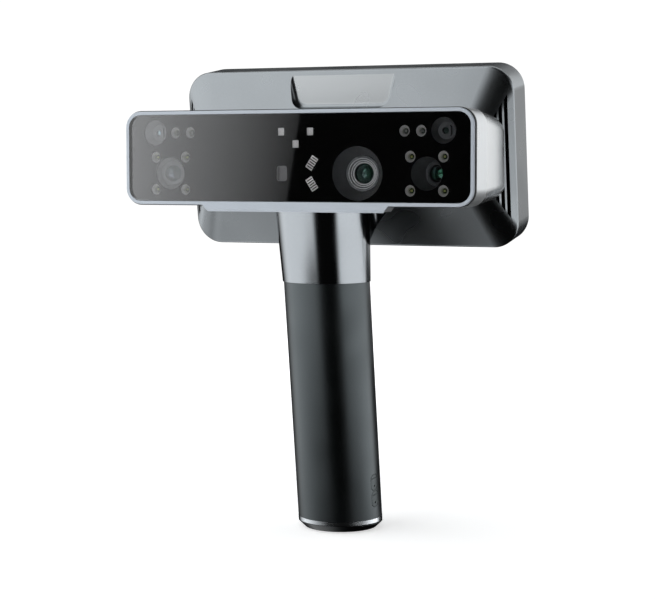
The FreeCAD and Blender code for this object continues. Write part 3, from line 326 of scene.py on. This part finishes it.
# ---- small optical detail ------------------------------------------------------
def piece_from(name, mesh_parts, material, body="frame"):
    """One object out of (vertices, faces) parts already in the row frame."""
    mesh = bpy.data.meshes.new(name)
    verts, faces = [], []
    for part_verts, part_faces in mesh_parts:
        base = len(verts)
        verts += part_verts
        faces += [[base + i for i in face] for face in part_faces]
    mesh.from_pydata(verts, [], faces)
    mesh.polygons.foreach_set("use_smooth", [True] * len(mesh.polygons))
    mesh.set_sharp_from_angle(angle=math.radians(32))
    made = bpy.data.objects.new(name, mesh)
    bpy.context.scene.collection.objects.link(made)
    made.data.materials.append(material)
    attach(made, body)
    return made


def turned(profile, x, y, z, steps=40):
    """Closed turned part about Y: profile is a loop of (radius, depth) pairs."""
    verts, faces = [], []
    count = len(profile)
    for k in range(steps):
        angle = 2 * math.pi * k / steps
        for radius, depth in profile:
            verts.append(Vector((radius * math.cos(angle), depth, radius * math.sin(angle))))
    for k in range(steps):
        for i in range(count):
            a, b = k * count + i, k * count + (i + 1) % count
            c, d = ((k + 1) % steps) * count + (i + 1) % count, ((k + 1) % steps) * count + i
            faces.append([a, b, c, d])
    return [tuple(BAR + Vector((x, y, z)) + v) for v in verts], faces


def block(x, y, z, w, d, h, chamfer, spin=0.0):
    """Chamfered chip facing -Y, centred at x, z with its face at y."""
    half = [(w / 2 - chamfer, h / 2 - chamfer, 0.0), (w / 2, h / 2, chamfer), (w / 2, h / 2, d)]
    verts = []
    turn = Matrix.Rotation(spin, 3, "Y")
    for hw, hh, depth in half:
        for sx, sz in ((-1, -1), (1, -1), (1, 1), (-1, 1)):
            verts.append(tuple(BAR + Vector((x, y, z)) + turn @ Vector((sx * hw, depth, sz * hh))))
    faces = [[0, 1, 2, 3], [11, 10, 9, 8]]
    for ring in (0, 4):
        for k in range(4):
            n = (k + 1) % 4
            faces.append([ring + k, ring + 4 + k, ring + 4 + n, ring + n])
    return verts, faces


def led_cup(x, z, r):
    """Bright reflector cup with a rolled lip."""
    y = MASK_BACK + 0.0001
    profile = [(r, 0.0), (r * 0.9, -0.00012), (r * 0.8, 0.0001), (r * 0.45, 0.0019), (r * 0.45, 0.0024),
               (r * 0.9, 0.0022), (r, 0.0012)]
    return turned(profile, x, y, z)


def led_dome(x, z, r):
    y = MASK_BACK + 0.0004
    arc = [(r * math.sin(t), r * (1 - math.cos(t)) * 0.8) for t in (0.02, 0.35, 0.7, 1.05, 1.4)]
    return turned(arc + [(r * 0.98, 0.0017), (0.00001, 0.0017)], x, y, z, 28)


def add_lights_detail(finishes):
    # painted light: the reflector cups get a glow of 0.03 though they are no lamp
    reflector = finish("reflector", (0.92, 0.92, 0.9), 0.35, 0.2, glow=0.03)
    phosphor = finish("phosphor", (0.75, 0.8, 0.35), 0.5, 0.0, 0.0002, 0.3, 0.15)
    emitter = finish("infrared_die", (0.35, 0.35, 0.36), 0.35, 0.4, 0.0002, 0.3, 0.1)
    dome = see_through("led_dome", (0.82, 0.84, 0.78), 0.04, 1.5)
    white = [led_cup(x, z, LED_CUP_R) for x, z in LED_POSTS]
    cups = piece_from("white_led_cups", white, reflector)
    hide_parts("white_leds")
    dies = [block(x, MASK_BACK + 0.0017, z, 0.0012, 0.0006, 0.0012, 0.0001) for x, z in LED_POSTS]
    piece_from("white_led_dies", dies, phosphor)
    domes = [led_dome(x, z, WHITE_DOME_R) for x, z in LED_POSTS]
    piece_from("white_led_domes", domes, dome)
    rings = [led_cup(x, z, LED_CUP_R) for x, z in INFRARED_POSTS]
    bowls = piece_from("infrared_led_cups", rings, reflector)
    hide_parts("infrared_leds")
    dark = [block(x, MASK_BACK + 0.0014, z, 0.0016, 0.0009, 0.0016, 0.0001) for x, z in INFRARED_POSTS]
    piece_from("infrared_led_dies", dark, emitter)
    small = [led_dome(x, z, INFRARED_DOME_R) for x, z in INFRARED_POSTS]
    piece_from("infrared_led_domes", small, dome)


def filter_disc(x, z, r):
    """Thin clear window set into the plate behind the glass."""
    rim = [(0.00001, 0.0), (r - 0.0001, 0.0), (r, 0.0001), (r, FILTER_THICK), (0.00001, FILTER_THICK)]
    return turned(rim, x, FILTER_Y, z, 64)


def add_filter_windows():
    clear = see_through("filter_glass", (0.96, 0.97, 0.97), 0.02, 1.5)
    discs = [filter_disc(COLOUR_X, LENS_Z, COLOUR_FILTER_R)]
    discs += [filter_disc(s * CAMERA_X, LENS_Z, CAMERA_FILTER_R) for s in (-1, 1)]
    discs += [filter_disc(s * TRACK_X, TRACK_Z, TRACK_FILTER_R) for s in (-1, 1)]
    piece_from("filter_windows", discs, clear)


def dress_sensor():
    """Darker glass face of the range sensor, with a little painted light: an even glow on a part that is
    no lamp.
    """
    sensor = frame["nodes"]["range_sensor"]
    sensor.data.materials.clear()
    sensor.data.materials.append(finish("sensor_face", (0.36, 0.36, 0.36), 0.3, blotch=0.1, glow=0.05))


def add_laser_ribs():
    """Dark ribs across each line-laser window."""
    ribs = []
    for side in (-1, 1):
        turn = side * LASER_TILT
        for k in range(-2, 3):
            along = RIB_PITCH * k
            x = LASER_X + along * math.sin(turn)
            z = LENS_Z + side * LASER_OFF + along * math.cos(turn)
            width = RIB_WIDE if k % 2 else RIB_NARROW
            ribs.append(block(x, MASK_BACK - 0.0004, z, width, 0.0003, RIB_HIGH, 0.00005, turn))
    dark = finish("laser_rib", (0.01, 0.01, 0.011), 0.3)
    piece_from("laser_ribs", ribs, dark)


def add_colour_iris():
    """Stepped iris rings in the throat of the colour camera."""
    rings = []
    for r, depth in IRIS_RINGS:
        inner = r - IRIS_WIDTH
        profile = [(r, 0.0), (r - 0.0003, -0.00015), (inner, 0.0), (inner, 0.0003), (r, 0.0003)]
        rings.append(turned(profile, COLOUR_X, depth, LENS_Z, 72))
    # painted light: the iris rings get a glow of 0.16 in place of the glints on them behind the glass
    bright = finish("iris_edge", (0.9, 0.9, 0.9), 0.25, 0.3, glow=0.16)
    piece_from("colour_iris_rings", rings, bright)


# ---- studio ----------------------------------------------------------------------
def direction(azimuth, elevation):
    a, e = math.radians(azimuth), math.radians(elevation)
    return Vector((math.sin(a) * math.cos(e), -math.cos(a) * math.cos(e), math.sin(e)))


def ease(t):
    t = max(0.0, min(1.0, t))
    return t * t * (3 - 2 * t)


def glow_material(name, power):
    mat, tree, out = new_material(name)
    share = node(tree, "ShaderNodeAttribute")
    share.attribute_name = "glow"
    strength = node(tree, "ShaderNodeMath")
    strength.operation = "MULTIPLY"
    tree.links.new(share.outputs["Fac"], strength.inputs[0])
    strength.inputs[1].default_value = power
    light = node(tree, "ShaderNodeEmission", Color=(0.97, 0.99, 1.0, 1.0), Strength=strength.outputs[0])
    tree.links.new(light.outputs[0], out.inputs["Surface"])
    return mat


def softbox(name, az, el, power, ends, soft, skew=0.0):
    """Curved soft panel between two azimuths and two elevations; skew slants its edges."""
    across, up = 48, 28
    verts, glow, faces = [], [], []
    for j in range(up + 1):
        e = el[0] + (el[1] - el[0]) * j / up
        for i in range(across + 1):
            t = i / across
            a = az[0] + (az[1] - az[0]) * t
            verts.append(STUDIO_CENTRE + direction(a + skew * e, e) * STUDIO_RADIUS)
            fade = 1.0
            for gap, width in zip((a - az[0], az[1] - a, e - el[0], el[1] - e), soft):
                fade *= ease(gap / width) if width else 1.0
            glow.append(fade * (ends[0] + (ends[1] - ends[0]) * t))
    row = across + 1
    for j in range(up):
        for i in range(across):
            faces.append([j * row + i, j * row + i + 1, (j + 1) * row + i + 1, (j + 1) * row + i])
    mesh = bpy.data.meshes.new(name)
    mesh.from_pydata([tuple(v) for v in verts], [], faces)
    mesh.attributes.new("glow", "FLOAT", "POINT").data.foreach_set("value", glow)
    panel = bpy.data.objects.new(name, mesh)
    bpy.context.scene.collection.objects.link(panel)
    panel.data.materials.append(glow_material(name, power))
    panel.visible_camera = False
    return panel


def build_softboxes():
    for name, values in PANELS.items():
        softbox(name, *values)
    over = softbox("overhead", *OVERHEAD)
    over.visible_glossy = False


def plain_emission(name, colour, power, paint=0.0):
    """Backdrop finish: steady glow over a matt surface."""
    mat, tree, out = new_material(name)
    shader = node(tree, "ShaderNodeBsdfPrincipled", Base_Color=rgb((paint, paint, paint)), Roughness=0.9)
    shader.inputs["Specular IOR Level"].default_value = 0.0
    shader.inputs["Emission Color"].default_value = rgb(colour)
    shader.inputs["Emission Strength"].default_value = power
    tree.links.new(shader.outputs[0], out.inputs["Surface"])
    return mat


def floor_paint():
    """Matt white that glows more with distance, so that the far floor meets the backdrop."""
    mat = plain_emission("pale_floor", (1.0, 1.0, 1.0), 0.0, 0.8)
    tree = mat.node_tree
    where = node(tree, "ShaderNodeTexCoord").outputs["Object"]
    reach = tree.nodes.new("ShaderNodeVectorMath")
    reach.operation = "LENGTH"
    tree.links.new(where, reach.inputs[0])
    power = spread(tree, reach.outputs["Value"], 0.55, 1.1, 0.15, 0.8)
    shader = next(n for n in tree.nodes if n.type == "BSDF_PRINCIPLED")
    tree.links.new(power, shader.inputs["Emission Strength"])
    return mat


def build_floor():
    bpy.ops.mesh.primitive_circle_add(vertices=96, radius=FLOOR_RADIUS, fill_type="NGON",
                                      location=(0, 0, -FLOOR_DROP))
    floor = bpy.context.object
    floor.name = "floor"
    floor.data.materials.append(floor_paint())
    floor.visible_glossy = False
    bpy.ops.mesh.primitive_uv_sphere_add(segments=64, ring_count=32, radius=BACKDROP_RADIUS)
    dome = bpy.context.object
    dome.name = "backdrop"
    dome.data.materials.append(plain_emission("white_backdrop", (1.0, 1.0, 1.0), 1.05))
    dome.visible_glossy = False
    dome.visible_diffuse = False
    dome.visible_shadow = False


def build_world():
    world = bpy.data.worlds.new("studio")
    bpy.context.scene.world = world
    world.use_nodes = True
    sky = world.node_tree.nodes["Background"]
    sky.inputs["Color"].default_value = (1.0, 1.0, 1.0, 1.0)
    sky.inputs["Strength"].default_value = 0.005
    bpy.context.scene.view_settings.view_transform = "Standard"
    bpy.context.scene.cycles.transparent_max_bounces = 24


def build_camera():
    data = bpy.data.cameras.new("view")
    camera = bpy.data.objects.new("view", data)
    bpy.context.scene.collection.objects.link(camera)
    a, p = math.radians(CAMERA_AZIMUTH), math.radians(CAMERA_PITCH)
    side = Vector((math.cos(a), math.sin(a), 0.0))
    ahead = Vector((-math.sin(a), math.cos(a), 0.0))
    camera.location = BAR + side * CAMERA_SIDE - ahead * CAMERA_BACK + Vector((0.0, 0.0, CAMERA_DROP))
    look = ahead * math.cos(p) - Vector((0.0, 0.0, math.sin(p)))
    camera.rotation_mode = "QUATERNION"
    camera.rotation_quaternion = look.to_track_quat("-Z", "Y")
    data.sensor_width = 36.0
    data.lens = CAMERA_LENS
    data.shift_y = CAMERA_SHIFT
    data.clip_start, data.clip_end = 0.01, 50.0
    bpy.context.scene.camera = camera


# ---- build ------------------------------------------------------------------------
finishes = make_finishes()
dress_nodes(finishes)
add_lights_detail(finishes)
add_filter_windows()
add_colour_iris()
add_laser_ribs()
dress_sensor()
build_world()
build_floor()
build_softboxes()
build_camera()
